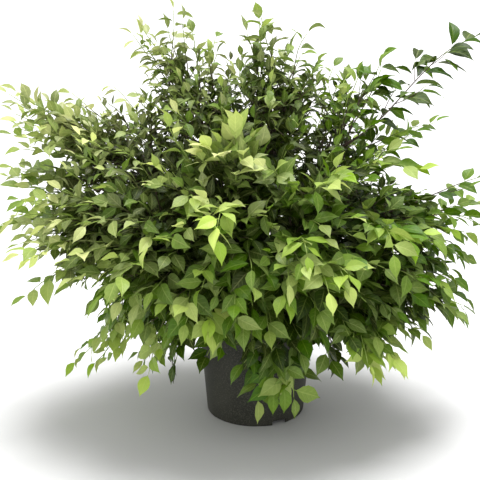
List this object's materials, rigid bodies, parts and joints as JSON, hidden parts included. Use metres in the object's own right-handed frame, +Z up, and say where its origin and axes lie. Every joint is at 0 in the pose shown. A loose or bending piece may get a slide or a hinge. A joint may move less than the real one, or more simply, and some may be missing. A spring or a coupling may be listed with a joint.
{
  "type": "potted shrub",
  "caption": "Bushy deciduous shrub with arching leafy shoots, growing in a round dark nursery pot with a rolled rim and drainage notches in its foot ring.",
  "frame": {"origin": "middle of the pot's underside, on the surface that the pot stands on", "axes": "+Z up along the pot's axis; -Y towards the side that the picture looks at; +X to that side's right"},
  "size_m": [1.2396, 0.9765, 1.0545],
  "materials": {
    "pot_plastic": "matt moulded polypropylene, near-black charcoal with a fine speckle",
    "potting_mix": "moist composted bark and peat, coarse and matt",
    "bark": "thin grey-brown bark on stems, smooth to finely furrowed",
    "leaf": "satin mid-green leaves and soft green twigs, lime at the shoot tips"
  },
  "bodies": {
    "root": {"nursery_pot": "pot_plastic", "potting_mix": "potting_mix", "stem_right_upper": "bark", "stem_right": "bark", "stem_right_low": "bark", "stem_front_right": "bark", "stem_front": "bark", "stem_front_left": "bark", "stem_left": "bark", "stem_left_upper": "bark", "stem_back_left": "bark", "stem_top_left": "bark", "stem_top_right": "bark", "stem_back": "bark", "stem_back_right": "bark", "spray_right_upper_arch": "leaf", "spray_right_upper_side": "leaf", "spray_right_upper_fall": "leaf", "spray_right_far": "leaf", "spray_right_mid": "leaf", "spray_right_front": "leaf", "spray_right_low_far": "leaf", "spray_right_low_back": "leaf", "spray_right_low_front": "leaf", "spray_front_right_out": "leaf", "spray_front_right_mid": "leaf", "spray_front_right_trail": "leaf", "spray_front_right_rise": "leaf", "spray_front_rise": "leaf", "spray_front_mid": "leaf", "spray_front_low": "leaf", "spray_front_left_out": "leaf", "spray_front_left_trail": "leaf", "spray_front_left_low": "leaf", "spray_left_low": "leaf", "spray_left_fall": "leaf", "spray_left_front": "leaf", "spray_left_mid": "leaf", "spray_left_upper_mid": "leaf", "spray_left_upper_tip": "leaf", "spray_left_upper_rise": "leaf", "spray_back_left_rise": "leaf", "spray_back_left_out": "leaf", "spray_back_left_low": "leaf", "spray_top_left_tip": "leaf", "spray_top_left_side": "leaf", "spray_top_left_inner": "leaf", "spray_top_right_tip": "leaf", "spray_top_right_side": "leaf", "spray_top_right_back": "leaf", "spray_back_rise": "leaf", "spray_back_mid": "leaf", "spray_back_low": "leaf", "spray_back_right_far": "leaf", "spray_back_right_mid": "leaf", "spray_back_right_low": "leaf", "spray_back_right_rise": "leaf"}
  },
  "joints": []
}
